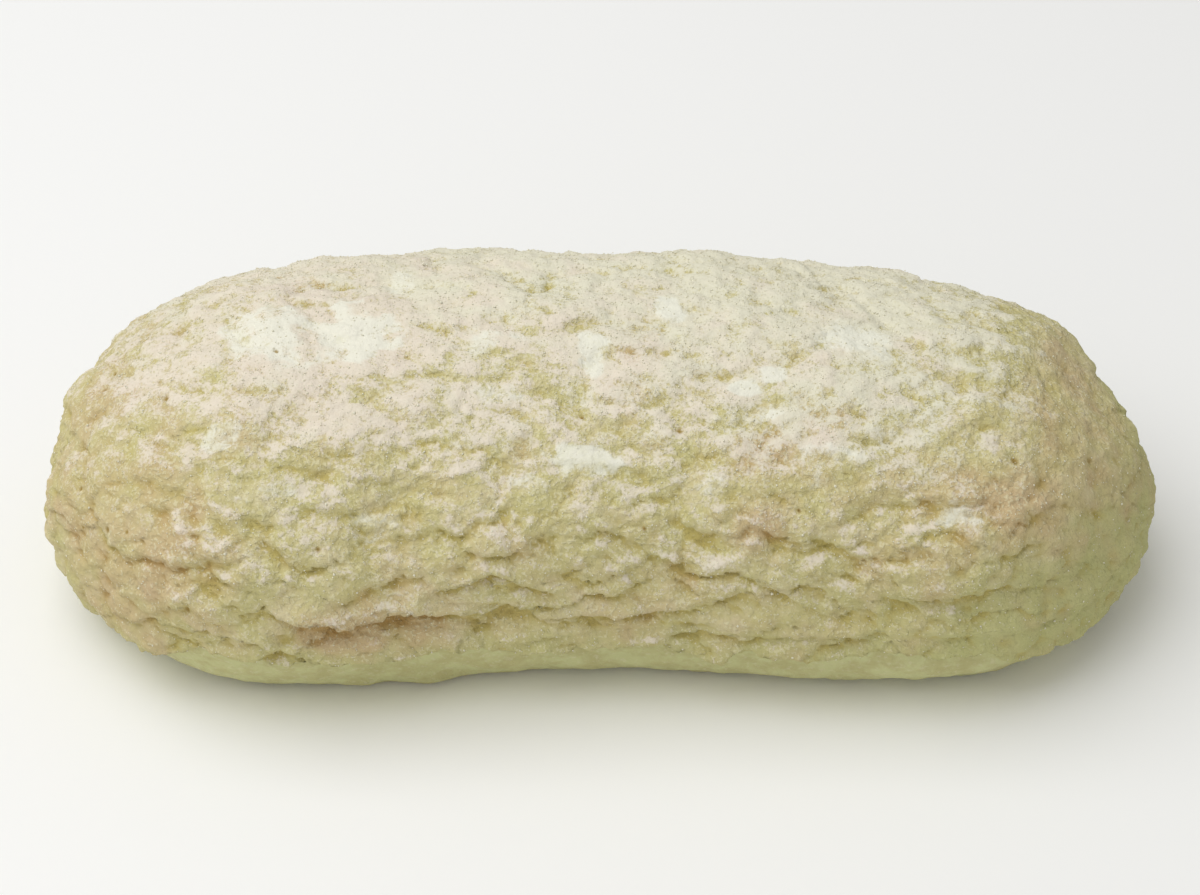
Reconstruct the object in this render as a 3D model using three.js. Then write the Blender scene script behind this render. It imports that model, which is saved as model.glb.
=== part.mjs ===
import * as THREE from 'three';
import { mergeVertices } from 'three/addons/utils/BufferGeometryUtils.js';

// An oblong filled melon pan, uncut: one solid bun with a lumpy cookie crust.
// Millimetres. +X runs along the bun, -Y is its front, +Z is up, and the
// origin is under the middle of the flat base.

// Overall form
const BUN_LENGTH = 158.4;
const BUN_WIDTH = 70.2;
const BUN_HEIGHT = 45.3;
const GIRTH_HEIGHT = 16.1;
const GIRTH_DROP = { left: 0.9, right: 2.8 };
const BELLY_DEPTH = 22;
const BEND = 1.9;

// Fullness of the outlines: 2 is an ellipse, and more is squarer
const CROWN_FULLNESS = 2.22;
const BELLY_FULLNESS = 2.65;
const CROWN_FALL_TO_ENDS = 1.05;
const LEFT_END = { shoulder: 4.3, tip: 2.35 };
const RIGHT_END = { shoulder: 3.5, tip: 2.2 };

// The front swells near both ends and is drawn in at the middle, left of it, and at the tips
const FRONT_SWELLS = [
  { along: -50, spread: 16, rise: 1.8 },
  { along: 60, spread: 16, rise: 3.0 },
  { along: 4, spread: 26, rise: -3.6 },
  { along: -77, spread: 10, rise: -3.2 },
  { along: 76, spread: 11, rise: -5.5 },
  { along: -25, spread: 10, rise: -1.0 },
];

// The crown stands a little higher on both shoulders
const CROWN_SWELLS = [
  { along: -50, spread: 9, rise: 1.0 },
  { along: 62, spread: 14, rise: 2.6 },
];

// Rounded lumps of the crust: size across, height, seed of its pattern
const BROAD_LUMPS = { size: 24, height: 1.0, seed: 11 };
const MIDDLE_LUMPS = { size: 12, height: 0.75, seed: 12 };
const COBBLES = { size: 9, stretch: 1.5, height: 0.9, seed: 13 };

// Long level folds low on the sides, each with its lip at the bottom
const FOLDS = { pitch: 7.5, height: 1.1, sway: 5, swaySize: 30, top: 26, seed: 21 };
const FOLD_LIP = 0.16;

// The crust ends in a ragged lip, and the smooth dough below it stands back
const LIP = { height: 11.0, raggedness: 1.0, ragSize: 13, out: 0.5, inset: 0.9, seed: 31 };
const LIP_EDGE = 0.8;
const LIP_WAVES = [
  { along: -52, spread: 9, rise: 1.6 },
  { along: 52, spread: 14, rise: 1.5 },
  { along: 80, spread: 17, rise: -10 },
  { along: -76, spread: 14, rise: -5 },
];
const LIP_LOWEST = 2.5;

// Flattened lobes of dough at the front foot
const FOOT_LOBES = [
  { along: -33, spread: 4, rise: 0.8 },
  { along: -24, spread: 4.5, rise: 1.0 },
];
const FOOT_TOP = { low: 1.8, high: 3.4 };

// Shallow level valleys on the right shoulder
const VALLEYS = [
  { along: 58, reach: 20, height: 21, spread: 2.6, depth: 1.1 },
  { along: 48, reach: 12, height: 34, spread: 2.2, depth: 0.9 },
];

// The round belly settles on the table over this softness
const BASE_SOFTNESS = 1.2;

// Mesh density
const SEGMENTS_AROUND = 58;
const SEGMENTS_ALONG = 74;
const OUTLINE_STEPS = 4000;
const TABLE_DENSITY = 0.35;
const NORMAL_STEP = 1e-3;
const TIP_TILT = 2 * NORMAL_STEP;
const WELD_DISTANCE = 1e-3;

// Multipliers that scatter grid corners into pattern values
const HASH = { x: 0x8da6b343, y: 0xd8163841, z: 0xcb1ab31f, seed: 0x9e3779b1 };
const HASH_MIX = { first: 0x5bd1e995, second: 0x27d4eb2d };
const GRADIENT_BITS = 10;
const GRADIENT_MASK = (1 << GRADIENT_BITS) - 1;
const PATTERN_GAIN = 1.5;

const CRUST_COLOUR = 0xd3cba2;
const CRUST_ROUGHNESS = 0.9;

const { smoothstep, lerp } = THREE.MathUtils;

function bell(distance, spread) {
  return Math.exp(-((distance / spread) ** 2));
}

// The sum of several bell-shaped rises along the bun
function waves(list, x) {
  return list.reduce((sum, wave) => sum + wave.rise * bell(x - wave.along, wave.spread), 0);
}

// One component of a corner's gradient, from -1 to 1
function unpackGradient(hash, index) {
  const bits = (hash >>> (GRADIENT_BITS * index)) & GRADIENT_MASK;
  return (2 * bits) / GRADIENT_MASK - 1;
}

// What one corner of the pattern's grid adds at an offset from that corner
function cornerPull(x, y, z, seed, dx, dy, dz) {
  let hash = Math.imul(x, HASH.x) ^ Math.imul(y, HASH.y) ^ Math.imul(z, HASH.z);
  hash ^= Math.imul(seed, HASH.seed);
  hash = Math.imul(hash ^ (hash >>> 13), HASH_MIX.first);
  hash = Math.imul(hash ^ (hash >>> 15), HASH_MIX.second);
  hash ^= hash >>> 13;
  return (
    unpackGradient(hash, 0) * dx +
    unpackGradient(hash, 1) * dy +
    unpackGradient(hash, 2) * dz
  );
}

// Smooth random pattern in space, about -1 to 1, with features of the size
function pattern(x, y, z, size, seed) {
  const cell = [x / size, y / size, z / size];
  const base = cell.map(Math.floor);
  const offset = cell.map((value, axis) => value - base[axis]);
  const fade = offset.map((f) => f * f * f * (f * (f * 6 - 15) + 10));
  let sum = 0;
  for (const i of [0, 1]) {
    for (const j of [0, 1]) {
      for (const k of [0, 1]) {
        const weight =
          (i ? fade[0] : 1 - fade[0]) * (j ? fade[1] : 1 - fade[1]) * (k ? fade[2] : 1 - fade[2]);
        const pull = cornerPull(
          base[0] + i, base[1] + j, base[2] + k, seed,
          offset[0] - i, offset[1] - j, offset[2] - k,
        );
        sum += weight * pull;
      }
    }
  }
  return sum * PATTERN_GAIN;
}

// How full the section is at t, from -1 at the left tip to 1 at the right tip
function endProfile(t) {
  const end = t < 0 ? LEFT_END : RIGHT_END;
  return Math.max(0, 1 - Math.abs(t) ** end.shoulder) ** (1 / end.tip);
}

// The smooth bun before it settles. The tilt runs from a quarter turn down at
// the left tip to a quarter turn up at the right tip, and the angle goes around
// the section, from 0 at the back over the crown to the front and under.
function smoothPoint(tilt, angle, target) {
  const t = Math.sin(tilt);
  const fullness = Math.sin(angle) > 0 ? CROWN_FULLNESS : BELLY_FULLNESS;
  const cosine = Math.cos(angle);
  const sine = Math.sin(angle);
  const reach = (Math.abs(cosine) ** fullness + Math.abs(sine) ** fullness) ** (-1 / fullness);
  const across = cosine * reach;
  const up = sine * reach;
  const profile = endProfile(t);
  const x = (BUN_LENGTH / 2) * t;
  const front = Math.max(0, -across) * profile;
  const y = (BUN_WIDTH / 2) * profile * across - BEND * t * t - waves(FRONT_SWELLS, x) * front;
  const girth = GIRTH_HEIGHT - (t < 0 ? GIRTH_DROP.left : GIRTH_DROP.right) * Math.abs(t) ** 3;
  const fall = profile ** CROWN_FALL_TO_ENDS;
  const crown = (BUN_HEIGHT - GIRTH_HEIGHT) * fall + waves(CROWN_SWELLS, x) * profile;
  const z = girth + (up > 0 ? crown : BELLY_DEPTH * profile) * up;
  return target.set(x, y, z);
}

// The smooth bun's outward direction, from short steps on its surface
function outward(tilt, angle, target) {
  if (Math.abs(tilt) > Math.PI / 2 - TIP_TILT) {
    return target.set(Math.sign(tilt), 0, 0);
  }
  const along = smoothPoint(tilt - NORMAL_STEP, angle, new THREE.Vector3());
  along.sub(smoothPoint(tilt + NORMAL_STEP, angle, new THREE.Vector3()));
  const around = smoothPoint(tilt, angle + NORMAL_STEP, new THREE.Vector3());
  around.sub(smoothPoint(tilt, angle - NORMAL_STEP, new THREE.Vector3()));
  return target.crossVectors(along, around).normalize();
}

// Folds: each band of height bulges out just over its lip and fades upwards
function foldHeight(p) {
  const swayed = p.z + FOLDS.sway * pattern(p.x, p.y, 0, FOLDS.swaySize, FOLDS.seed);
  const share = swayed / FOLDS.pitch - Math.floor(swayed / FOLDS.pitch);
  const band = smoothstep(share, 0, FOLD_LIP) * (1 - share);
  const patch = smoothstep(pattern(p.x, p.y, p.z, FOLDS.swaySize, FOLDS.seed + 1), -0.3, 0.3);
  return FOLDS.height * band * patch * (1 - smoothstep(p.z, FOLDS.top / 2, FOLDS.top));
}

// The ragged lower edge of the crust, as a height above the base
function lipHeight(p) {
  const rag = LIP.raggedness * pattern(p.x, p.y, 0, LIP.ragSize, LIP.seed);
  return Math.max(LIP.height + rag + waves(LIP_WAVES, p.x), LIP_LOWEST);
}

// How far the real surface stands out from the smooth bun
function relief(p) {
  const ridge = Math.abs(
    pattern(p.x / COBBLES.stretch, p.y, p.z, COBBLES.size, COBBLES.seed),
  );
  let crust = LIP.out + foldHeight(p) + COBBLES.height * (Math.sqrt(ridge) - 0.5);
  for (const lumps of [BROAD_LUMPS, MIDDLE_LUMPS]) {
    crust += lumps.height * pattern(p.x, p.y, p.z, lumps.size, lumps.seed);
  }
  for (const valley of VALLEYS) {
    const share = bell(p.x - valley.along, valley.reach) * bell(p.z - valley.height, valley.spread);
    crust -= valley.depth * share;
  }
  const low = p.y < 0 ? 1 - smoothstep(p.z, FOOT_TOP.low, FOOT_TOP.high) : 0;
  const dough = low * waves(FOOT_LOBES, p.x) - LIP.inset;
  const lip = lipHeight(p);
  return lerp(dough, crust, smoothstep(p.z, lip - LIP_EDGE, lip + LIP_EDGE));
}

// Heights under the base become a flat base, with a short soft bend to it
function settle(z) {
  if (z <= -BASE_SOFTNESS) {
    return 0;
  }
  if (z < BASE_SOFTNESS) {
    return (z + BASE_SOFTNESS) ** 2 / (4 * BASE_SOFTNESS);
  }
  return z;
}

// Values from start to end that divide a measured outline into even lengths
function evenSteps(start, end, count, stepLength) {
  const values = [start];
  const lengths = [0];
  for (let i = 1; i <= OUTLINE_STEPS; i += 1) {
    const share = (1 - Math.cos((Math.PI * i) / OUTLINE_STEPS)) / 2;
    values.push(lerp(start, end, share));
    lengths.push(lengths[i - 1] + stepLength(values[i - 1], values[i]));
  }
  const result = [];
  let at = 0;
  for (let i = 0; i <= count; i += 1) {
    const wanted = (lengths[OUTLINE_STEPS] * i) / count;
    while (at < OUTLINE_STEPS - 1 && lengths[at + 1] < wanted) {
      at += 1;
    }
    const share = (wanted - lengths[at]) / (lengths[at + 1] - lengths[at]);
    result.push(lerp(values[at], values[at + 1], share));
  }
  return result;
}

function bunGeometry() {
  const from = new THREE.Vector3();
  const to = new THREE.Vector3();

  // Rows run from the right tip to the left, even on the line of the girth
  const alongValues = evenSteps(Math.PI / 2, -Math.PI / 2, SEGMENTS_ALONG, (a, b) =>
    smoothPoint(a, 0, from).distanceTo(smoothPoint(b, 0, to)),
  );

  // Columns around it are even on the middle section, and wide apart under it
  const aroundValues = evenSteps(0, 2 * Math.PI, SEGMENTS_AROUND, (a, b) => {
    const length = smoothPoint(0, a, from).distanceTo(smoothPoint(0, b, to));
    return from.z < -BASE_SOFTNESS ? length * TABLE_DENSITY : length;
  });

  // Each vertex of a sphere is moved to its place on the bun
  const geometry = new THREE.SphereGeometry(1, SEGMENTS_AROUND, SEGMENTS_ALONG);
  const position = geometry.getAttribute('position');
  const point = new THREE.Vector3();
  const direction = new THREE.Vector3();
  for (let row = 0; row <= SEGMENTS_ALONG; row += 1) {
    for (let column = 0; column <= SEGMENTS_AROUND; column += 1) {
      const tilt = alongValues[row];
      const angle = aroundValues[column % SEGMENTS_AROUND];
      smoothPoint(tilt, angle, point);
      outward(tilt, angle, direction);
      point.addScaledVector(direction, relief(point));
      point.z = settle(point.z);
      position.setXYZ(row * (SEGMENTS_AROUND + 1) + column, point.x, point.y, point.z);
    }
  }
  geometry.deleteAttribute('uv');
  geometry.deleteAttribute('normal');
  const solid = mergeVertices(geometry, WELD_DISTANCE);

  // The middle of the base's box comes to the origin
  solid.computeBoundingBox();
  const middle = solid.boundingBox.getCenter(new THREE.Vector3());
  solid.translate(-middle.x, -middle.y, -solid.boundingBox.min.z);
  solid.computeVertexNormals();
  return solid;
}

const bun = new THREE.Mesh(
  bunGeometry(),
  new THREE.MeshStandardMaterial({
    name: 'cookie_crust',
    color: CRUST_COLOUR,
    roughness: CRUST_ROUGHNESS,
    metalness: 0,
  }),
);
bun.name = 'bun';

const melonPan = new THREE.Group();
melonPan.name = 'cream_filled_melon_pan';
melonPan.add(bun);

export default melonPan;
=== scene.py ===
import math

import bpy
import numpy as np
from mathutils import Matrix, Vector


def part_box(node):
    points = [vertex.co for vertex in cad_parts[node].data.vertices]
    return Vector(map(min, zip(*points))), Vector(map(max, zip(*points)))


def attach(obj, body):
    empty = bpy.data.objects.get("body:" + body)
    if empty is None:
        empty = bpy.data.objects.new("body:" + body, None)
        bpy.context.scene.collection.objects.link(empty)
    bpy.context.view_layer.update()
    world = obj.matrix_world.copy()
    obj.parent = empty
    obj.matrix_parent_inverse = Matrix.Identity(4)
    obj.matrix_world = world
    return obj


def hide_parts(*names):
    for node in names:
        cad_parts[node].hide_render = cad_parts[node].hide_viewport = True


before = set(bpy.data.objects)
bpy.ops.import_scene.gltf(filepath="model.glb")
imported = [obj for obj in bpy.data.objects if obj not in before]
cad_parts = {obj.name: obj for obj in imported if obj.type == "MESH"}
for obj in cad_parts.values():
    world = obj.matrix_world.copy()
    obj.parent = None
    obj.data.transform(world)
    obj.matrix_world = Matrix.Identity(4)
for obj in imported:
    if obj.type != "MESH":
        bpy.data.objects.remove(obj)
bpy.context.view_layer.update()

# An oblong melon pan: a pale, lumpy cookie crust under powdered sugar.
# The crust's form is worked out in millimetres and put in place in metres.

bunLow, bunHigh = (np.array(corner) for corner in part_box("bun"))
millimetre = 0.001

# whole numbers that scatter a grid corner's place, and how far high bits are folded down
cornerScatter = dict(
    x=0x8DA6B343, y=0xD8163841, z=0xCB1AB31F, seed=0x9E3779B1, first=0x5BD1E995, second=0x27D4EB2D,
    fold=13, secondFold=15, shareBits=10, allBits=0xFFFFFFFF,
)
patternGain = 1.5


# three random shares from 0 to 1 for each grid corner: multiply, fold high bits down, and cut into three
def cornerShares(corner, step, seed):
    f = cornerScatter
    x, y, z = ((corner[..., a] + s).astype(np.uint32) for a, s in enumerate(step))
    h = x * np.uint32(f["x"]) ^ y * np.uint32(f["y"]) ^ z * np.uint32(f["z"])
    h = h ^ np.uint32((seed * f["seed"]) & f["allBits"])
    h = (h ^ (h >> np.uint32(f["fold"]))) * np.uint32(f["first"])
    h = (h ^ (h >> np.uint32(f["secondFold"]))) * np.uint32(f["second"])
    h = h ^ (h >> np.uint32(f["fold"]))
    mask = np.uint32((1 << f["shareBits"]) - 1)
    return [((h >> np.uint32(f["shareBits"] * a)) & mask) / float(mask) for a in range(3)]


# gradient noise: each of a cell's 8 corners pulls by gradient . offset, blended with 6f^5 - 15f^4 + 10f^3
def pattern(points, size, seed):
    cell = points / size
    base = np.floor(cell)
    offset = cell - base
    fade = offset ** 3 * (offset * (offset * 6 - 15) + 10)
    corner = base.astype(np.int64)
    total = np.zeros(points.shape[:-1])
    for step in np.ndindex(2, 2, 2):
        shares = cornerShares(corner, step, seed)
        pull = sum((2 * shares[a] - 1) * (offset[..., a] - s) for a, s in enumerate(step))
        weight = np.prod([fade[..., a] if s else 1 - fade[..., a] for a, s in enumerate(step)], axis=0)
        total += weight * pull
    return total * patternGain


# several sizes of noise added up: size, height and seed of each
def patterns(points, layers):
    return sum(height * pattern(points, size, seed) for size, height, seed in layers)


# a slow sway added up from sizes and reaches, with one seed after another
def swaying(points, layers, seed):
    return patterns(points, [(size, reach, seed + n) for n, (size, reach) in enumerate(layers)])


# one random centre in each cell: 1 - the distance to the nearest, and how far downhill of it, both in cells
def flakes(points, downhill, size, seed):
    cell = points / size
    base = np.floor(cell)
    corner = base.astype(np.int64)
    offset = cell - base
    nearest, below = np.full(points.shape[:-1], np.inf), np.zeros(points.shape[:-1])
    for ahead in np.ndindex(3, 3, 3):
        step = [s - 1 for s in ahead]
        shares = cornerShares(corner, step, seed)
        gap = np.stack([shares[a] + s - offset[..., a] for a, s in enumerate(step)], axis=-1)
        distance = (gap ** 2).sum(axis=-1)
        closer = distance < nearest
        nearest = np.where(closer, distance, nearest)
        below = np.where(closer, -(gap * downhill).sum(axis=-1), below)
    return 1 - np.sqrt(nearest), below


# 3t^2 - 2t^3 between the two limits, flat outside them
def ramp(low, high, value):
    t = np.clip((value - low) / (high - low), 0, 1)
    return t * t * (3 - 2 * t)


# exp(-(distance / spread)^2)
def bell(distance, spread):
    return np.exp(-((distance / spread) ** 2))


# a bell around each place, times its strength: along, across, height, radius, strength
def bells(points, places):
    return sum(
        strength * bell(np.linalg.norm(points - np.array(place), axis=-1), radius)
        for *place, radius, strength in places
    )


bunForm = dict(
    length=158.4, width=70.2, height=45.3,
    girth=16.1, girthDrop=(0.9, 2.8), bellyDepth=22, bend=1.9,       # pairs are left, right
    crownFullness=2.22, bellyFullness=2.65, crownFall=1.05,
    leftEnd=(4.3, 2.35), rightEnd=(3.5, 2.2),
    # along, spread, out or up
    frontSwells=(
        (-50, 16, 1.8), (60, 16, 3.0), (4, 26, -3.6), (-77, 10, -3.2), (76, 11, -5.5), (-25, 10, -1.0),
    ),
    crownSwells=((-50, 9, 1.0), (62, 14, 2.6)),
    lumps=((24, 1.0, 11), (12, 0.75, 12)),                           # size, height, seed
    cobbles=(9, 0.9, 13), cobbleStretch=1.5,
    foldPitch=7.5, foldHeight=1.1, foldSway=5, foldSwaySize=30, foldTop=26, foldLip=0.16, foldSeed=21,
    foldPatch=(-0.3, 0.3),
    lipHeight=11.0, lipRag=1.0, lipRagSize=13, lipOut=0.5, lipInset=0.9, lipEdge=0.8, lipSeed=31,
    lipWaves=((-52, 9, 1.6), (52, 14, 1.5), (80, 17, -10), (-76, 14, -5)),
    lipLowest=2.5,
    footLobes=((-33, 4, 0.8), (-24, 4.5, 1.0)), footHeight=(1.8, 3.4),
    valleys=((58, 20, 21, 2.6, 1.1), (48, 12, 34, 2.2, 0.9)),       # along, reach, height, spread, depth
    baseSoftness=1.2,
    hiddenDepth=3.2, hiddenOver=0.5, hiddenRise=2.5,
)


# the swells along the bun added up: rise * bell
def swellsAt(x, swells):
    return sum(rise * bell(x - along, spread) for along, spread, rise in swells)


# (1 - |t|^shoulder)^(1/tip), with each end's own numbers
def endProfile(t):
    left, right = bunForm["leftEnd"], bunForm["rightEnd"]
    shoulder = np.where(t < 0, left[0], right[0])
    tip = np.where(t < 0, left[1], right[1])
    return np.maximum(0, 1 - np.abs(t) ** shoulder) ** (1 / tip)


# superellipse sections on a bent line: tilt runs from tip to tip, angle from the back over the crown
def smoothBun(tilt, angle):
    f = bunForm
    t = np.sin(tilt)
    fullness = np.where(np.sin(angle) > 0, f["crownFullness"], f["bellyFullness"])
    reach = (np.abs(np.cos(angle)) ** fullness + np.abs(np.sin(angle)) ** fullness) ** (-1 / fullness)
    across, up = np.cos(angle) * reach, np.sin(angle) * reach
    profile = endProfile(t)
    x = f["length"] / 2 * t + 0 * across
    front = np.maximum(0, -across) * profile
    y = f["width"] / 2 * profile * across - f["bend"] * t ** 2 - swellsAt(x, f["frontSwells"]) * front
    girth = f["girth"] - np.where(t < 0, *f["girthDrop"]) * np.abs(t) ** 3
    crown = (f["height"] - f["girth"]) * profile ** f["crownFall"] + swellsAt(x, f["crownSwells"]) * profile
    z = girth + np.where(up > 0, crown, f["bellyDepth"] * profile) * up
    return np.stack(np.broadcast_arrays(x, y, z), axis=-1)


# values that cut a measured line into even lengths, by reading its running length backwards
def evenSteps(line, weights, values, count):
    steps = np.linalg.norm(np.diff(line, axis=0), axis=1) * weights
    run = np.concatenate([[0], np.cumsum(steps)])
    return np.interp(np.linspace(0, run[-1], count), run, values)


# cross product of the grid's two directions, with the two tips pointing out along the bun
def gridNormals(points):
    along = np.gradient(points, axis=0)
    around = (np.roll(points, -1, axis=1) - np.roll(points, 1, axis=1)) / 2
    normal = np.cross(around, along)
    normal /= np.linalg.norm(normal, axis=-1, keepdims=True) + 1e-12
    normal[0], normal[-1] = (-1, 0, 0), (1, 0, 0)
    return normal


# how deep in each band of height a point lies: a sharp lip below, fading upwards
def foldShare(points, pitch, sway, swaySize, lip, seed):
    flat = points * (1, 1, 0)
    level = (points[..., 2] + sway * pattern(flat, swaySize, seed)) / pitch
    share = level - np.floor(level)
    return ramp(0, lip, share) * (1 - share)


# the ragged lower edge of the crust, as a height above the base
def lipLevel(points):
    f = bunForm
    rag = f["lipRag"] * pattern(points * (1, 1, 0), f["lipRagSize"], f["lipSeed"])
    lip = f["lipHeight"] + swellsAt(points[..., 0], f["lipWaves"]) + rag
    return np.maximum(lip, f["lipLowest"])


# lumps + cobbles + folds - valleys
def broadCrust(points):
    f = bunForm
    x, y, z = np.moveaxis(points, -1, 0)
    crust = f["lipOut"] + patterns(points, f["lumps"])
    size, height, seed = f["cobbles"]
    ridge = np.abs(pattern(points / (f["cobbleStretch"], 1, 1), size, seed))
    crust += height * (np.sqrt(ridge) - 0.5)
    folds = foldShare(points, f["foldPitch"], f["foldSway"], f["foldSwaySize"], f["foldLip"], f["foldSeed"])
    patch = ramp(*f["foldPatch"], pattern(points, f["foldSwaySize"], f["foldSeed"] + 1))
    crust += f["foldHeight"] * folds * patch * (1 - ramp(f["foldTop"] / 2, f["foldTop"], z))
    return crust - sum(
        depth * bell(x - along, reach) * bell(z - level, spread)
        for along, reach, level, spread, depth in f["valleys"]
    )


# the dough stands back below the lip, spreads into lobes at the front foot, and is hidden above the lip
def broadDough(points):
    f = bunForm
    x, y, z = np.moveaxis(points, -1, 0)
    foot = swellsAt(x, f["footLobes"]) * (1 - ramp(*f["footHeight"], z))
    dough = -f["lipInset"] + np.where(y < 0, foot, 0)
    hidden = ramp(0, f["hiddenRise"], z - lipLevel(points) - f["hiddenOver"])
    return dough - (f["hiddenDepth"] - f["lipInset"]) * hidden


crumbForm = dict(
    # size, height, share hanging at the lower edge, seed
    flakes=((10.0, 1.05, 0.8, 61), (5.0, 0.88, 0.8, 62), (2.6, 0.5, 0.6, 63), (1.3, 0.26, 0.3, 64)),
    flakeEdge=(0.08, 0.72), stretch=1.45, downLean=0.25,
    # what is left of the relief on the crown and at each end, and how much less it is where fresh, on ledges
    # and low at the right
    crown=(24, 40), crownShare=0.36, ends=(50, 72), endShare=(0.56, 0.46),
    freshSmooth=0.3, ledgeSmooth=0.35, ledgeLevel=0.7,
    rightSmooth=0.35, rightAlong=((0, 35), (68, 54)), rightHeight=(30, 18),
    # the fresher, greener crust: low down, less so at the left, and towards the right end
    lowFresh=0.6, freshHeight=(20, 9), leftDull=0.7, dullAlong=(-45, -66),
    freshAlong=(15, 75), freshRight=(36, 18),
    warp=((8, 1.4), (3, 0.7), (1.4, 0.35)), warpSeed=51,
    bumps=((4.0, 0.35, 42), (2.2, 0.22, 43), (1.1, 0.14, 44)),
    # along, height and reach outwards of the corners of each ledge's lower edge
    ledges=(
        ((-47, 21.6, 0), (-42, 21.2, 1.8), (-37.5, 20.7, 2.6), (-35.3, 19.3, 2.6), (-31, 20.2, 2.6),
         (-25, 20.6, 2.4), (-22, 19.6, 1.8), (-15, 18.4, 0)),
        ((-25, 22.6, 0), (-21, 23.8, 1.2), (-15, 25.8, 1.6), (-13, 25.2, 1.6), (-8.6, 23.1, 1.2),
         (-3, 20.6, 0)),
        ((-10, 17.6, 0), (-5, 17.9, 0.8), (2, 18.4, 1.2), (7, 18.4, 1.2), (11, 19.2, 0.8), (16, 21.0, 0)),
        ((18, 26, 0), (21, 24.8, 0.5), (25, 22.5, 0.7), (29, 20.5, 0.5), (32, 18, 0)),
        ((36, 24.5, 0), (39, 23.2, 0.6), (45, 19.9, 0.7), (50, 19.3, 0.4), (56, 18.6, 0)),
        ((-36, 12.6, 0), (-34, 12.4, 0.9), (-29, 12.2, 1.1), (-24.5, 12.0, 0.9), (-23.5, 12.0, 0.2),
         (-20, 11.8, 0.8), (-14, 12, 0)),
        ((-54, 12.6, 0), (-52, 12.6, 0.8), (-47.5, 12.2, 0.9), (-45, 12.4, 0)),
        ((34, 34.6, 0), (40, 34.5, 0.8), (50, 34.1, 0.9), (60, 33.1, 0)),
        ((50, 25, 0), (56, 23.2, 0.4), (62, 20.5, 0.4), (70, 16, 0)),
    ),
    ledgeFade=3.0, ledgeEdge=0.4, ledgeUnder=0.7, underFade=2.4, ledgeDrag=0.3, dragFade=0.9,
    ledgeSways=((5, 0.5), (2, 0.35)), ledgeSeed=95,
    # small holes: along, across, height, radius
    pits=(
        (-57.2, 4.6, 41.7, 0.5), (-44.8, -7.2, 44.4, 0.5), (-68.8, -0.8, 36, 0.5),
        (-59.9, -11.7, 39.8, 0.7), (-72.2, -17.1, 27.9, 0.5), (-68.8, -22.4, 26.9, 0.5),
        (-72.2, -20.3, 23.6, 0.5), (-67.3, -24.2, 26.6, 0.6), (-64.1, -26.2, 27.9, 0.5),
        (-58.1, -32.6, 20.4, 0.6), (-55.9, -33.5, 20.6, 0.6), (-38.1, -32.2, 30.1, 0.6),
        (-2.4, -17.2, 41.6, 0.5), (10.9, -19.2, 40.5, 0.7), (27.1, -27.9, 33.5, 0.5),
        (6.1, -28.2, 30.8, 0.5), (56.4, -21.1, 36.6, 0.8), (68.3, -14.9, 31.9, 0.7),
    ),
    pitDepth=0.5,
    lipSways=((7, 1.5), (3.4, 0.9), (1.5, 0.3)), lipSeed=131,
    lipRoll=0.5, lipRollFade=1.8, rollAlong=(45, 65),
    cakeHeight=0.15, cakeSmooth=0.35,
)


# caked sugar: along, across, half length, half width, strength
cakeForm = dict(
    patches=(
        (-35, -4, 6, 6, 1.0), (-45, -4, 8, 6, 0.9), (-28, 10, 3, 5, 0.6), (-16, -5, 3, 3, 0.7),
        (-11, -4, 2, 2, 0.6), (-1, -6, 2, 3, 1.0), (-1, -10, 1.4, 2, 1.0), (-2, -23, 5, 2, 1.0),
        (-9, -26, 4, 1.4, 0.6), (-14, -14, 5, 2, 0.6), (10, 3, 2, 3, 1.0), (24, -11, 2, 2, 1.0),
        (20, -13, 2, 1.4, 1.0), (23, -17, 2, 1.4, 0.8), (35, -4, 6, 4, 0.8), (32, -23, 5, 1.4, 0.6),
        (14, -26, 4, 1.2, 0.6), (30, -26, 2, 1.4, 0.6), (48, -29, 4, 1.2, 0.7), (-51, -21, 3, 2, 0.7),
        (-45, -28, 4, 1.2, 0.6), (-30, -30, 3, 1.2, 0.6),
    ),
    edge=(1.6, 0.5), sways=((5.5, 0.5), (2.6, 0.5), (1.2, 0.3)), seed=171,
)


# an ellipse with a swayed edge around each place, on the upper side
def cakedShare(points):
    f = cakeForm
    x, y, z = np.moveaxis(points, -1, 0)
    sway = swaying(points, f["sways"], f["seed"])
    caked = np.zeros_like(z)
    for along, across, half, wide, strength in f["patches"]:
        away = np.hypot((x - along) / half, (y - across) / wide)
        caked = np.maximum(caked, strength * ramp(*f["edge"], away + sway) * (z > bunForm["girth"]))
    return caked


# each ledge reaches out most at its lower edge, fades upwards as exp(-height / fade), and cuts in below it
def frontLedges(points):
    f = crumbForm
    x, y, z = np.moveaxis(points, -1, 0)
    sway = swaying(points, f["ledgeSways"], f["ledgeSeed"])
    out, drag = np.zeros_like(z), np.zeros_like(z)
    for ledge in f["ledges"]:
        along, height, far = np.array(ledge).T
        over = z + sway - np.interp(x, along, height)
        reach = np.interp(x, along, far, 0, 0) * (y < 0)
        edge = ramp(-f["ledgeEdge"], f["ledgeEdge"], over)
        out += reach * edge * np.exp(-np.maximum(over, 0) / f["ledgeFade"])
        out -= reach * f["ledgeUnder"] * (1 - edge) * np.exp(-np.maximum(-over, 0) / f["underFade"])
        drag += reach * f["ledgeDrag"] * edge * np.exp(-np.maximum(over, 0) / f["dragFade"])
    return out, drag


# a bell-shaped share around each small hole
def pitShare(points):
    return bells(points, [(*place, 1) for place in crumbForm["pits"]])


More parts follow.
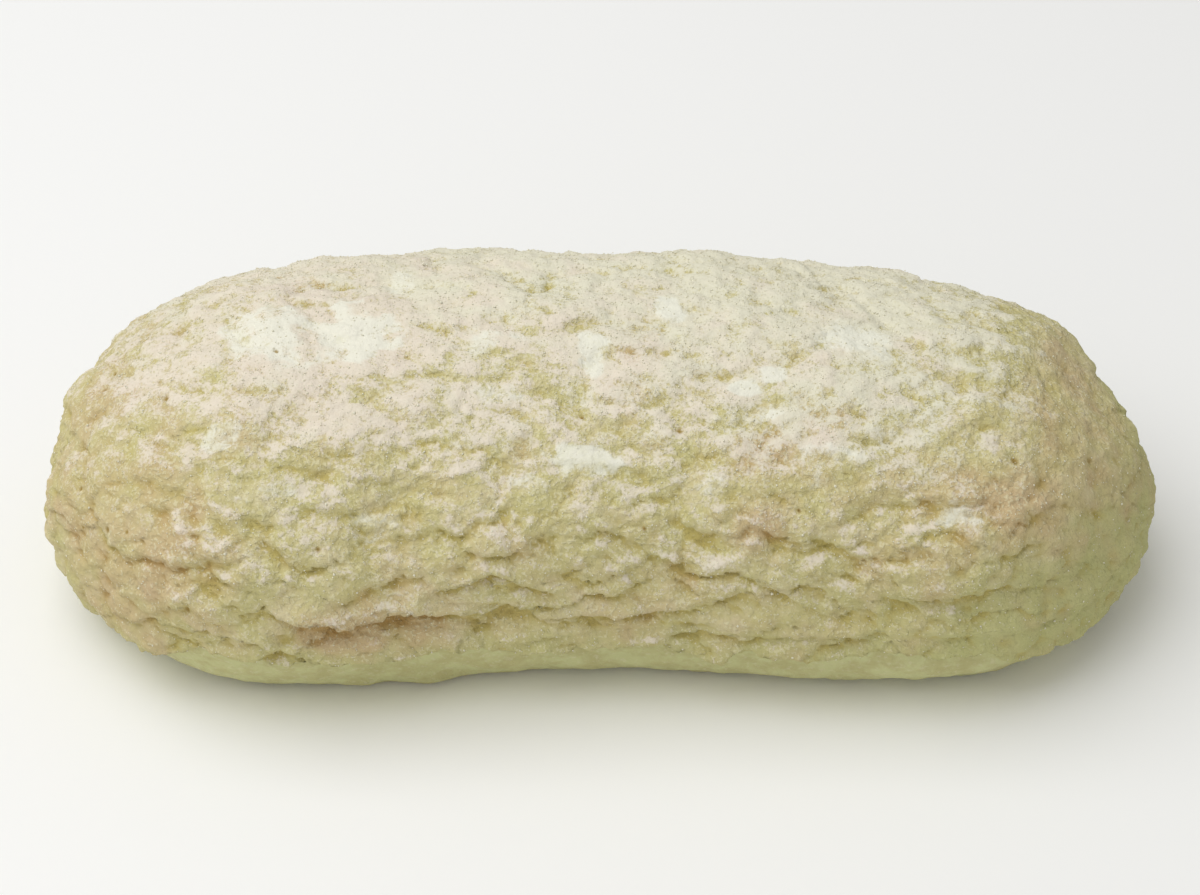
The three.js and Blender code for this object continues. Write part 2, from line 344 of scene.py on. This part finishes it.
# low down and towards the right end the crust is greener: each is a ramp in height times one along the bun
def freshShare(points):
    f = crumbForm
    x, y, z = np.moveaxis(points, -1, 0)
    low = f["lowFresh"] * ramp(*f["freshHeight"], z) * (1 - f["leftDull"] * ramp(*f["dullAlong"], x))
    return np.clip(low + ramp(*f["freshAlong"], x) * ramp(*f["freshRight"], z), 0, 1)


# the way down along the surface, leaning to the front on the crown: down - (down . normal) normal
def downhillWay(normal):
    down = np.array((0, -crumbForm["downLean"], -1))
    way = down - normal * (normal @ down)[..., None]
    return way / (np.linalg.norm(way, axis=-1, keepdims=True) + 1e-9)


# how much of the flakes is left: less on the crown, at the ends, where it is fresh and low at the right
def flakeShare(points):
    f = crumbForm
    x, y, z = np.moveaxis(points, -1, 0)
    ends = np.where(x < 0, *f["endShare"])
    first, last = f["rightAlong"]
    right = ramp(*first, x) * ramp(*last, x) * ramp(*f["rightHeight"], z) * (y < 0)
    share = f["crownShare"] + (1 - f["crownShare"]) * (1 - ramp(*f["crown"], z))
    share *= ends + (1 - ends) * (1 - ramp(*f["ends"], np.abs(x)))
    share *= 1 - f["freshSmooth"] * np.maximum(0, freshShare(points) - f["lowFresh"]) / (1 - f["lowFresh"])
    return share * (1 - f["rightSmooth"] * right)


# flakes of four sizes on swayed places: a flat top with a steep edge, standing out most on the downhill side
# then bumps, and all of it lower under caked sugar
def fineCrust(points, normal):
    f = crumbForm
    warped = points / (f["stretch"], 1, 1) + sum(
        far * np.stack([pattern(points, size, f["warpSeed"] + 3 * n + a) for a in range(3)], axis=-1)
        for n, (size, far) in enumerate(f["warp"])
    )
    downhill = downhillWay(normal)
    fine = np.zeros(points.shape[:-1])
    for size, height, hang, seed in f["flakes"]:
        dome, below = flakes(warped, downhill, size, seed)
        fine += height * (ramp(*f["flakeEdge"], dome) - 0.5 + hang * below)
    fine = fine * flakeShare(points) + patterns(points, f["bumps"])
    caked = cakedShare(points)
    return fine * (1 - f["cakeSmooth"] * caked) + f["cakeHeight"] * caked


# hiddenBelow is the height under which the columns thin out to this density
crustGrid = dict(rows=416, columns=238, hiddenBelow=5, density=0.1, backDensity=0.5)
doughGrid = dict(rows=190, columns=130, hiddenBelow=-1.2, density=0.3, backDensity=0.7)
lineSteps = 4001
doughForm = dict(size=6, height=0.5, stretch=1.5, fineSize=2.6, fineHeight=0.3, seed=91)


# heights below the base become 0 over a short soft bend: (z + k)^2 / 4k
def settle(z):
    k = bunForm["baseSoftness"]
    return np.where(z < -k, 0, np.where(z < k, (z + k) ** 2 / (4 * k), z))


# the mean over a square of neighbours, by running sums around and along
def blurGrid(values, reach):
    total = sum(np.roll(values, s, axis=1) for s in range(-reach, reach + 1)) / (2 * reach + 1)
    padded = np.pad(total, ((reach, reach), (0, 0)), mode="edge")
    return sum(padded[s:s + len(values)] for s in range(2 * reach + 1)) / (2 * reach + 1)


# tilts even on the girth line, and angles even on the middle section, sparse at the back and where hidden
def gridSteps(rows, columns, hiddenBelow, density, backDensity):
    tilts = np.linspace(-math.pi / 2, math.pi / 2, lineSteps)
    tilt = evenSteps(smoothBun(tilts, np.zeros_like(tilts)), 1, tilts, rows)[:, None]
    angles = np.linspace(0, 2 * math.pi, lineSteps)
    section = smoothBun(np.zeros_like(angles), angles)
    weights = np.where(section[:-1, 1] > bunForm["width"] / 4, backDensity, 1)
    weights = np.where(section[:-1, 2] < hiddenBelow, density, weights)
    return tilt, evenSteps(section, weights, angles, columns + 1)[None, :-1]


# each tip row gathers at its own mean point
def closeTips(points):
    points[0], points[-1] = points[0].mean(axis=0), points[-1].mean(axis=0)
    return points


# smooth bun + broad relief along its normals + fine relief halfway to the new normals, and under the lip the
# surface turns in to the hidden depth
def makeCrustSurface():
    f, g = bunForm, crumbForm
    smooth = smoothBun(*gridSteps(**crustGrid))
    lip = lipLevel(smooth) + swaying(smooth, g["lipSways"], g["lipSeed"])
    above = ramp(lip - f["lipEdge"], lip + f["lipEdge"], smooth[..., 2])
    smoothNormal = gridNormals(smooth)
    broad = smooth + smoothNormal * broadCrust(smooth)[..., None]
    broadNormal = gridNormals(broad)
    fineWay = smoothNormal + broadNormal
    fineWay /= np.linalg.norm(fineWay, axis=-1, keepdims=True)
    out, drag = frontLedges(smooth)
    fine = fineCrust(broad, broadNormal) * (1 - g["ledgeSmooth"] * np.clip(np.abs(out), 0, 1)) + out
    roll = g["lipRoll"] * (1 - ramp(*g["rollAlong"], np.abs(smooth[..., 0])))
    fine += roll * np.exp(-np.abs(smooth[..., 2] - lip) / g["lipRollFade"])
    outer = broad + fineWay * (fine - g["pitDepth"] * pitShare(smooth))[..., None]
    outer[..., 2] -= drag
    inner = smooth - smoothNormal * f["hiddenDepth"]
    inner[..., 2] = np.maximum(inner[..., 2], f["hiddenDepth"])
    points = closeTips(inner + (outer - inner) * above[..., None])
    return dict(points=points, smooth=smooth, fine=fine, level=fine - g["ledgeLevel"] * out, above=above)


# smooth bun with the foot's relief and two sizes of shallow unevenness, settled on the base
def makeDoughSurface():
    f = doughForm
    smooth = smoothBun(*gridSteps(**doughGrid))
    uneven = f["height"] * pattern(smooth / (f["stretch"], 1, 1), f["size"], f["seed"])
    uneven = uneven + f["fineHeight"] * pattern(smooth, f["fineSize"], f["seed"] + 1)
    points = closeTips(smooth + gridNormals(smooth) * (broadDough(smooth) + uneven)[..., None])
    points[..., 2] = settle(points[..., 2])
    return points


# both surfaces together fill the frame's box for the bun
def fitToBox(surfaces):
    together = np.concatenate([points.reshape(-1, 3) for points in surfaces])
    low, high = together.min(axis=0), together.max(axis=0)
    return [bunLow + (points - low) / (high - low) * (bunHigh - bunLow) for points in surfaces]


# each face corner's place on a flat map: along the bun, and around it by column
def mapCorners(rows, columns):
    def place(row, column):
        return np.stack(np.broadcast_arrays(row / (rows - 1), column / columns), axis=-1)

    ring, column = np.arange(1, rows - 2)[:, None], np.arange(columns)
    first = np.stack([place(0, column + 0.5), place(1, column + 1), place(1, column)], axis=1)
    sides = ((ring, column), (ring, column + 1), (ring + 1, column + 1), (ring + 1, column))
    middle = np.stack([place(*side) for side in sides], axis=2)
    final = (rows - 1, column + 0.5), (rows - 2, column), (rows - 2, column + 1)
    last = np.stack([place(*corner) for corner in final], axis=1)
    return np.concatenate([part.reshape(-1, 2) for part in (first, middle, last)])


# a smooth-shaded mesh that sits at the origin, with its place in its vertices
def makePiece(name, vertices, faces):
    mesh = bpy.data.meshes.new(name)
    mesh.from_pydata(vertices.tolist(), [], faces)
    mesh.shade_smooth()
    piece = bpy.data.objects.new(name, mesh)
    bpy.context.scene.collection.objects.link(piece)
    return piece


# the grid's rows become rings, and each tip row one vertex with a fan of triangles
def makeGridPiece(name, points):
    rows, columns = points.shape[:2]
    vertices = np.concatenate([points[:1, 0], points[1:-1].reshape(-1, 3), points[-1:, 0]])
    ring = 1 + np.arange((rows - 2) * columns).reshape(rows - 2, columns)
    a, b = ring[:-1], ring[1:]
    quads = np.stack([a, np.roll(a, -1, 1), np.roll(b, -1, 1), b], axis=-1).reshape(-1, 4)
    first, last = ring[0], ring[-1]
    startFan = np.stack([np.zeros_like(first), np.roll(first, -1), first], axis=-1)
    endFan = np.stack([np.full_like(last, len(vertices) - 1), last, np.roll(last, -1)], axis=-1)
    faces = startFan.tolist() + quads.tolist() + endFan.tolist()
    piece = makePiece(name, vertices, faces)
    corners = piece.data.uv_layers.new(name="OFBake").data
    corners.foreach_set("uv", mapCorners(rows, columns).astype(np.float32).ravel())
    return piece


# a value for each vertex, with each tip row's mean for its one vertex
def addAttribute(piece, name, values):
    rings = [values[:1].mean(axis=1), values[1:-1].reshape(-1), values[-1:].mean(axis=1)]
    layer = piece.data.attributes.new(name, "FLOAT", "POINT")
    layer.data.foreach_set("value", np.concatenate(rings).astype(np.float32))


print("bun: form")
crustSurface = makeCrustSurface()
crustPoints, doughPoints = fitToBox([crustSurface["points"], makeDoughSurface()])
crustPiece = makeGridPiece("cookieCrust", crustPoints)
doughPiece = makeGridPiece("breadDough", doughPoints)

# powdered sugar: more on what faces up and forward, on what stands out, and in clouds
dustForm = dict(
    lean=0.4, facing=(0.1, 1.1), slope=0.8, smoothing=5,
    clouds=((15, 0.15, 61), (6, 0.2, 62), (2.8, 0.2, 63)),           # size, height, seed
    cavityReaches=(3, 9), cavityHeights=(0.45, 0.35),
    # less sugar at the ends; the right end's larger share also paints its dimmer light as shade
    lowest=(30, 13), lowestLess=0.44, ends=(40, 72), endLessAndShade=(0.28, 0.8),
    # how warm the film is: less so high at the right, and at the back
    warm=0.55, rightAlong=(-60, 60), rightHeight=(30, 43), rightLess=0.3, back=(-10, 20), backLess=0.2,
)
# browned places, and painted shade under the first front ledge (the three at along -39, -33 and -25): along,
# across, height, radius, strength
bakeAndShadeForm = dict(
    places=(
        (-60, -25, 33, 9, 0.2), (-56, -31, 27.5, 6.5, 0.8), (-72, -11, 32, 9, 0.4), (-44, 14, 43, 8, 0.5),
        (-66, -28, 17, 7, 0.45), (-70, -22, 24, 6, 0.4), (66, 1, 36, 7, 0.6), (58, -26, 32, 7, 0.5),
        (29, -20, 40, 9, 0.5), (-39, -35, 19, 3.5, 1.3), (-33, -35, 17.5, 4, 1.3), (6, -7, 45, 5, 0.6),
        (-25, -34, 17.5, 4, 1.0), (3, -32, 16, 6, 0.5), (34, -34, 15, 5, 0.4), (-70, 0, 32, 20, 0.1),
        (46, -33, 24, 4, 0.4), (22, -22, 39, 3.5, 1.1), (33, -19, 41, 3, 0.6), (22, -29, 32, 3.5, 1.2),
        (48, -26, 35, 5, 0.8), (55, -26, 33, 4, 0.5), (68, -14, 31, 14, 0.6), (14, -31, 26, 6, 0.4),
        (38, -30, 26, 7, 0.4),
    ),
    clouds=((22, 0.3, 71), (8, 0.4, 72), (3, 0.45, 73)),
    leftMore=0.4, leftAlong=(15, -68), leftHeight=(5, 18),
)


# dust = facing + slope + what stands out + clouds - less low down and at the ends; the larger cut at the
# right end also paints the shade of the light falling off there
def dustShare(normal, smooth, points, level):
    f = dustForm
    x, y, z = np.moveaxis(smooth, -1, 0)
    broad = np.stack([blurGrid(normal[..., a], f["smoothing"]) for a in range(3)], axis=-1)
    fall = np.array((0, f["lean"], 1)) / math.hypot(f["lean"], 1)
    dust = ramp(*f["facing"], broad @ fall) + f["slope"] * (normal - broad) @ fall
    for reach, height in zip(f["cavityReaches"], f["cavityHeights"]):
        dust += height * (level - blurGrid(level, reach))
    dust += patterns(points, f["clouds"])
    ends = np.where(x < 0, *f["endLessAndShade"]) * ramp(*f["ends"], np.abs(x))
    return dust - (f["lowestLess"] * ramp(*f["lowest"], z) + ends)


# bake = clouds + more towards the left end + the browned places, some of which are painted shade under the
# first ledge
def bakeAndShadeShare(smooth, points):
    f = bakeAndShadeForm
    x, y, z = np.moveaxis(smooth, -1, 0)
    left = f["leftMore"] * ramp(*f["leftAlong"], x) * ramp(*f["leftHeight"], z)
    return patterns(points, f["clouds"]) + left + bells(smooth, f["places"])


# warm = the same all over - less high up at the right - less at the back
def warmShare(smooth):
    f = dustForm
    x, y, z = np.moveaxis(smooth, -1, 0)
    right = f["rightLess"] * ramp(*f["rightAlong"], x) * ramp(*f["rightHeight"], z)
    return f["warm"] - right - f["backLess"] * ramp(*f["back"], y)


# what the crust's material reads, point by point; the crease mask is how far a point lies below its
# neighbours, and it darkens the creases with painted shade
def surfaceFacts():
    points, smooth, fine, level = (crustSurface[name] for name in ("points", "smooth", "fine", "level"))
    reaches = dustForm["cavityReaches"]
    return dict(
        dust=dustShare(gridNormals(points), smooth, points, level), caked=cakedShare(points),
        creaseShade=sum(blurGrid(fine, reach) - fine for reach in reaches) / len(reaches),
        # the pit mask paints shade into the small holes
        bakeAndShade=bakeAndShadeShare(smooth, points), pitShade=pitShare(smooth),
        fresh=freshShare(smooth), warm=warmShare(smooth),
    )


crustFacts = surfaceFacts()
for name, values in crustFacts.items():
    addAttribute(crustPiece, name, values)


# a socket is linked, and anything else is set as the input's own value
def feed(tree, socket, value):
    if isinstance(value, bpy.types.NodeSocket):
        tree.links.new(value, socket)
    else:
        socket.default_value = value


# inputs by name or number, and the node's own settings by name
def addNode(tree, kind, inputs=None, **settings):
    node = tree.nodes.new(kind)
    for name, value in settings.items():
        setattr(node, name, value)
    for name, value in (inputs or {}).items():
        feed(tree, node.inputs[name], value)
    return node


# a screen colour in 0 to 255 as light: ((v + 0.055) / 1.055)^2.4, for all but the darkest
def srgb(*screen):
    return tuple(((v / 255 + 0.055) / 1.055) ** 2.4 for v in screen) + (1,)


# the colour sockets of a Mix node are its 7th and 8th inputs and its 3rd output
def mixColours(tree, factor, first, second):
    return addNode(tree, "ShaderNodeMix", {0: factor, 6: first, 7: second}, data_type="RGBA").outputs[2]


def mathNode(tree, operation, first, second):
    return addNode(tree, "ShaderNodeMath", {0: first, 1: second}, operation=operation).outputs[0]


def readAttribute(tree, name):
    return addNode(tree, "ShaderNodeAttribute", attribute_name=name).outputs["Fac"]


# noise from 0 to 1 with lumps of this size in millimetres
def noiseNode(tree, place, size, detail=2.0, roughness=0.5):
    return addNode(
        tree, "ShaderNodeTexNoise",
        {"Vector": place, "Scale": 1 / (size * millimetre), "Detail": detail, "Roughness": roughness},
    ).outputs["Fac"]


# the same soft ramp as a node, from newLow to newHigh
def rangeNode(tree, value, low, high, newLow=0.0, newHigh=1.0):
    return addNode(
        tree, "ShaderNodeMapRange",
        {"Value": value, "From Min": low, "From Max": high, "To Min": newLow, "To Max": newHigh},
        interpolation_type="SMOOTHSTEP",
    ).outputs["Result"]


# ranges are from low, to high, and where given the values there; sizes and distances are in millimetres
crustLook = dict(
    green=srgb(204, 196, 140), beige=srgb(217, 205, 164), mottleSize=5.0, mottleRange=(0.4, 0.75),
    fresh=srgb(191, 190, 131), freshRange=(0, 1, 0, 0.85),
    pink=srgb(204, 177, 138), pinkRange=(-0.1, 1.3, 0, 0.75),
    # painted shade: crease and burnt are darker, yellower colours laid into the creases, burnt where the
    # crust is also baked
    creaseShade=srgb(190, 173, 95), creaseShadeRange=(0.0, 0.6, 0, 0.7),
    bakedCreaseShade=srgb(172, 136, 70), bakedCreaseShadeRange=(0.2, 1.1),
    # painted shade: a darker, yellower colour laid into the small holes
    pitShade=srgb(165, 140, 80), pitShadeRange=(0.35, 0.9),
    grains=srgb(232, 226, 188), grainSize=0.45, grainParts=dict(grain=1.0, dust=0.12),
    grainRange=(0.53, 0.67), freshGrains=(0.3, 1, 0.5, 0.25),
    roughness=(0, 1, 0.8, 0.95), specular=0.12,
)
# what each noise adds to the film and to the cake, and how thick they get
sugarLook = dict(
    film=srgb(234, 231, 213), warmFilm=srgb(237, 226, 213), cake=srgb(240, 239, 223),
    clumpSize=1.7, speckSize=0.42, flakeSize=3.0, flakeStep=2.2, flakeSway=1.0, flakeWide=0.8,
    filmParts=dict(dust=0.75, clump=1.1, speck=1.15, flake=0.28, small=0.28),
    filmRange=(1.53, 2.0), filmThick=(0.0, 0.9, 0.55, 0.78),
    cakeParts=dict(caked=1.0, clump=0.8, speck=0.3, flake=0.2), cakeRange=(1.05, 1.55), cakeThick=0.8,
    tintSize=6.0, tintRange=(0.65, 1.05),
)
crumbLook = dict(
    crumbSize=0.9, knobSize=1.8, knobSway=0.6, parts=dict(crumb=1.0, knobs=-0.55),
    height=0.6, bareRange=(0, 1, 1.0, 0.45),
    powderHeight=0.15, powderStrength=0.5,
)
doughLook = dict(
    dough=srgb(206, 206, 152), dull=srgb(192, 186, 132), mottleSize=4.0, mottleRange=(0.35, 0.65),
    flour=srgb(222, 216, 182), flourSize=0.9, flourRange=(0.52, 0.72, 0, 0.45),
    base=srgb(204, 180, 128), baseRange=(0.6 * millimetre, 0.0),
    roughness=0.8, specular=0.3, crumbSize=1.0, crumbHeight=0.4, crumbStrength=0.8,
)


# the place moved by noise of this size, by up to this share of the size
def swayNode(tree, place, size, share):
    fineness = 1 / (size * millimetre)
    sway = addNode(tree, "ShaderNodeTexNoise", {"Vector": place, "Scale": fineness, "Detail": 3.0})
    return addNode(
        tree, "ShaderNodeVectorMath",
        {0: sway.outputs["Color"], 1: (size * share * millimetre,) * 3, 2: place}, operation="MULTIPLY_ADD",
    ).outputs["Vector"]


# random cells on swayed places, wider along the bun: each cell's own random value
def flakeNode(tree, place, size):
    swayed = swayNode(tree, place, size, sugarLook["flakeSway"])
    stretch = (sugarLook["flakeWide"], 1, 1)
    wide = addNode(tree, "ShaderNodeMapping", {"Vector": swayed, "Scale": stretch}).outputs["Vector"]
    cells = addNode(tree, "ShaderNodeTexVoronoi", {"Vector": wide, "Scale": 1 / (size * millimetre)})
    return addNode(tree, "ShaderNodeSeparateColor", {"Color": cells.outputs["Color"]}).outputs["Red"]


# each named value times its weight, added up
def weightedSum(tree, values, weights):
    total = None
    for name, weight in weights.items():
        part = mathNode(tree, "MULTIPLY", values[name], weight)
        total = part if total is None else mathNode(tree, "ADD", total, part)
    return total


# a film where dust + flakes + clumps + specks pass a level, and a thick cake on the caked places
def sugarCover(tree, place):
    look = sugarLook
    values = dict(
        dust=readAttribute(tree, "dust"), caked=readAttribute(tree, "caked"),
        clump=noiseNode(tree, place, look["clumpSize"], 4, 0.7),
        speck=noiseNode(tree, place, look["speckSize"], 2, 0.6),
        flake=flakeNode(tree, place, look["flakeSize"]),
        small=flakeNode(tree, place, look["flakeSize"] / look["flakeStep"]),
    )
    heap = weightedSum(tree, values, look["filmParts"])
    thick = rangeNode(tree, values["dust"], *look["filmThick"])
    film = mathNode(tree, "MULTIPLY", rangeNode(tree, heap, *look["filmRange"]), thick)
    heap = weightedSum(tree, values, look["cakeParts"])
    return film, mathNode(tree, "MULTIPLY", rangeNode(tree, heap, *look["cakeRange"]), look["cakeThick"])


# fine light grains of the crust itself, fewer where it is fresh
def grainCover(tree, place):
    look = crustLook
    values = dict(grain=noiseNode(tree, place, look["grainSize"], 1, 0.5), dust=readAttribute(tree, "dust"))
    grains = rangeNode(tree, weightedSum(tree, values, look["grainParts"]), *look["grainRange"])
    fresh = rangeNode(tree, readAttribute(tree, "fresh"), *look["freshGrains"])
    return mathNode(tree, "MULTIPLY", grains, fresh)


# mottled green and beige, browned by the mesh's attributes, with painted shade under the first ledge and in
# the creases, then grains, film, cake and painted shade in the pits
def crustColour(tree, place, film, cake):
    look, sugar = crustLook, sugarLook
    bakeAndShade = readAttribute(tree, "bakeAndShade")
    mottle = noiseNode(tree, place, look["mottleSize"], 4, 0.65)
    colour = mixColours(tree, rangeNode(tree, mottle, *look["mottleRange"]), look["green"], look["beige"])
    fresh = rangeNode(tree, readAttribute(tree, "fresh"), *look["freshRange"])
    colour = mixColours(tree, fresh, colour, look["fresh"])
    # pink where baked, and painted shade under the first ledge
    colour = mixColours(tree, rangeNode(tree, bakeAndShade, *look["pinkRange"]), colour, look["pink"])
    # painted shade in the creases: deeper creases take a darker, yellower colour, browner where baked
    creaseShadeColour = mixColours(tree, rangeNode(tree, bakeAndShade, *look["bakedCreaseShadeRange"]), look["creaseShade"], look["bakedCreaseShade"])
    creaseShade = rangeNode(tree, readAttribute(tree, "creaseShade"), *look["creaseShadeRange"])
    colour = mixColours(tree, creaseShade, colour, creaseShadeColour)
    colour = mixColours(tree, grainCover(tree, place), colour, look["grains"])
    tint = noiseNode(tree, place, sugar["tintSize"], 3, 0.6)
    tint = mathNode(tree, "ADD", tint, readAttribute(tree, "warm"))
    tint = mixColours(tree, rangeNode(tree, tint, *sugar["tintRange"]), sugar["film"], sugar["warmFilm"])
    colour = mixColours(tree, film, colour, tint)
    colour = mixColours(tree, cake, colour, sugar["cake"])
    # painted shade in the small holes
    pitShade = rangeNode(tree, readAttribute(tree, "pitShade"), *look["pitShadeRange"])
    return mixColours(tree, pitShade, colour, look["pitShade"])


# small knobs and crumbs, weaker under sugar, and the sugar's own thickness over them
def crustBump(tree, place, cover):
    look = crumbLook
    knobs = addNode(
        tree, "ShaderNodeTexVoronoi",
        {"Vector": swayNode(tree, place, look["knobSize"], look["knobSway"]),
         "Scale": 1 / (look["knobSize"] * millimetre)},
    ).outputs["Distance"]
    values = dict(crumb=noiseNode(tree, place, look["crumbSize"], 3, 0.55), knobs=knobs)
    crumb = weightedSum(tree, values, look["parts"])
    bare = rangeNode(tree, cover, *look["bareRange"])
    bump = addNode(
        tree, "ShaderNodeBump", {"Height": crumb, "Strength": bare, "Distance": look["height"] * millimetre},
    ).outputs["Normal"]
    return addNode(
        tree, "ShaderNodeBump",
        {"Height": cover, "Strength": look["powderStrength"], "Distance": look["powderHeight"] * millimetre,
         "Normal": bump},
    ).outputs["Normal"]


# a material with these of its shader's inputs fed; made by a function of its node tree
def makeMaterial(name, makeInputs):
    material = bpy.data.materials.new(name)
    material.use_nodes = True
    tree = material.node_tree
    for socket, value in makeInputs(tree).items():
        feed(tree, tree.nodes["Principled BSDF"].inputs[socket], value)
    return material


# the crust under its sugar, rougher where the sugar covers it
def sugaredCrust(tree):
    place = addNode(tree, "ShaderNodeTexCoord").outputs["Object"]
    film, cake = sugarCover(tree, place)
    cover = mathNode(tree, "MAXIMUM", film, cake)
    return {
        "Base Color": crustColour(tree, place, film, cake), "Normal": crustBump(tree, place, cover),
        "Roughness": rangeNode(tree, cover, *crustLook["roughness"]),
        "Specular IOR Level": crustLook["specular"],
    }


# mottled dough with flour specks, browned where it meets the tray
def softDough(tree):
    look = doughLook
    place = addNode(tree, "ShaderNodeTexCoord").outputs["Object"]
    mottle = noiseNode(tree, place, look["mottleSize"], 4, 0.65)
    colour = mixColours(tree, rangeNode(tree, mottle, *look["mottleRange"]), look["dough"], look["dull"])
    flour = rangeNode(tree, noiseNode(tree, place, look["flourSize"], 3, 0.7), *look["flourRange"])
    colour = mixColours(tree, flour, colour, look["flour"])
    height = addNode(tree, "ShaderNodeSeparateXYZ", {"Vector": place}).outputs["Z"]
    colour = mixColours(tree, rangeNode(tree, height, *look["baseRange"]), colour, look["base"])
    crumb = noiseNode(tree, place, look["crumbSize"], 3, 0.6)
    strength, distance = look["crumbStrength"], look["crumbHeight"] * millimetre
    bump = addNode(tree, "ShaderNodeBump", {"Height": crumb, "Strength": strength, "Distance": distance})
    return {
        "Base Color": colour, "Normal": bump.outputs["Normal"],
        "Roughness": look["roughness"], "Specular IOR Level": look["specular"],
    }


print("bun: finish")
crustPiece.data.materials.append(makeMaterial("sugaredCrust", sugaredCrust))
doughPiece.data.materials.append(makeMaterial("softDough", softDough))
for piece in (crustPiece, doughPiece):
    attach(piece, "root")
    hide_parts("bun")


grainForm = dict(
    count=24000, size=0.10, spread=0.3, roughness=0.15, flat=0.6, sink=0.3, seed=7,
    even=0.1, dusted=0.9, cakedLess=0.8, lipEdge=0.99,
    surface={"Base Color": srgb(234, 230, 208), "Roughness": 0.8, "Specular IOR Level": 0.2},
)


# an octahedron's corners, and every three that are all square to each other, facing outwards
def grainShape():
    ends = np.array([(-1, 0, 0), (1, 0, 0)], dtype=float)
    corners = np.concatenate([np.roll(ends, turn, axis=1) for turn in range(3)])
    near = corners @ corners.T == 0
    triples = [
        (i, j, k)
        for i in range(len(corners)) for j in range(i) for k in range(j)
        if near[i, j] and near[j, k] and near[i, k]
    ]
    return corners, [t if np.linalg.det(corners[list(t)]) > 0 else t[::-1] for t in triples]


# random turns, each from four numbers of length 1 (a quaternion)
def randomTurns(random, count):
    turns = random.normal(size=(4, count))
    w, x, y, z = turns / np.linalg.norm(turns, axis=0)
    return np.stack([
        1 - 2 * (y * y + z * z), 2 * (x * y - w * z), 2 * (x * z + w * y),
        2 * (x * y + w * z), 1 - 2 * (x * x + z * z), 2 * (y * z - w * x),
        2 * (x * z - w * y), 2 * (y * z + w * x), 1 - 2 * (x * x + y * y),
    ], axis=-1).reshape(count, 3, 3)


# grains thrown on the crust where it is dusted, each turned, flattened along the normal and sunk a little
def scatterGrains(name):
    f = grainForm
    count = f["count"]
    random = np.random.default_rng(f["seed"])
    corner, along, around = crustPoints[:-1], crustPoints[1:], np.roll(crustPoints, -1, axis=1)[:-1]
    area = np.linalg.norm(np.cross(along - corner, around - corner), axis=-1)
    dusted = np.clip(crustFacts["dust"][:-1], 0, 1) * (1 - f["cakedLess"] * crustFacts["caked"][:-1])
    shown = crustSurface["above"][:-1] > f["lipEdge"]
    weight = (area * (f["even"] + f["dusted"] * dusted) * shown).ravel()
    chosen = random.choice(weight.size, count, p=weight / weight.sum())
    u, v = random.random((2, count, 1))
    corner, along, around = (grid.reshape(-1, 3)[chosen] for grid in (corner, along, around))
    normal = gridNormals(crustPoints)[:-1].reshape(-1, 3)[chosen]
    size = f["size"] * millimetre * np.exp(random.normal(0, f["spread"], (count, 1)))
    centre = corner + u * (along - corner) + v * (around - corner) + normal * size * (f["flat"] - f["sink"])
    shape, triples = grainShape()
    rough = 1 + random.normal(0, f["roughness"], (count, len(shape), 1))
    offset = np.einsum("nij,cj->nci", randomTurns(random, count), shape) * rough * size[:, None]
    offset -= normal[:, None] * (offset * normal[:, None]).sum(axis=-1, keepdims=True) * (1 - f["flat"])
    faces = (np.arange(count)[:, None, None] * len(shape) + np.array(triples)).reshape(-1, 3)
    return makePiece(name, (centre[:, None] + offset).reshape(-1, 3), faces.tolist())


print("sugar")
piece = scatterGrains("sugarGrains")
piece.data.materials.append(makeMaterial("sugarGrain", lambda tree: grainForm["surface"]))
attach(piece, "root")


studio = dict(
    floorSize=3.0, floor={"Base Color": srgb(250, 250, 248), "Roughness": 0.9},
    lights=dict(
        key=dict(power=5.0, size=0.9, place=(-0.36, -0.03, 0.78)),
        fill=dict(power=0.5, size=0.7, place=(-0.30, -0.60, 0.55)),
    ),
    aim=(0, 0, 0.02), world=0.45,
)


def makeFloor():
    half = studio["floorSize"] / 2
    corners = np.array([(-half, -half, 0), (half, -half, 0), (half, half, 0), (-half, half, 0)])
    floor = makePiece("floor", corners, [(0, 1, 2, 3)])
    floor.data.materials.append(makeMaterial("floor", lambda tree: studio["floor"]))


# a square area light that faces the bun
def addSoftLight(name, power, size, place):
    light = bpy.data.lights.new(name, "AREA")
    light.energy, light.size = power, size
    lamp = bpy.data.objects.new(name, light)
    lamp.location = place
    lamp.rotation_euler = (Vector(studio["aim"]) - Vector(place)).to_track_quat("-Z", "Y").to_euler()
    bpy.context.scene.collection.objects.link(lamp)


cameraForm = dict(elevation=40.0, azimuth=0.28, distance=0.45, target=(0.0, 0.0036, 0.0191), lens=92.9)


# the camera stands back from its target along the viewing angle and looks at it
def makeCamera():
    lift, turn = math.radians(cameraForm["elevation"]), math.radians(cameraForm["azimuth"])
    back = Vector((math.sin(turn) * math.cos(lift), -math.cos(turn) * math.cos(lift), math.sin(lift)))
    optics = bpy.data.cameras.new("camera")
    optics.lens = cameraForm["lens"]
    camera = bpy.data.objects.new("camera", optics)
    camera.location = Vector(cameraForm["target"]) + back * cameraForm["distance"]
    camera.rotation_euler = (-back).to_track_quat("-Z", "Y").to_euler()
    bpy.context.scene.collection.objects.link(camera)
    bpy.context.scene.camera = camera


print("stage")
makeFloor()
makeCamera()
for name, light in studio["lights"].items():
    addSoftLight(name, **light)
world = bpy.data.worlds.new("studio")
world.use_nodes = True
world.node_tree.nodes["Background"].inputs["Color"].default_value = (1, 1, 1, 1)
world.node_tree.nodes["Background"].inputs["Strength"].default_value = studio["world"]
bpy.context.scene.world = world
bpy.context.scene.view_settings.view_transform = "Standard"
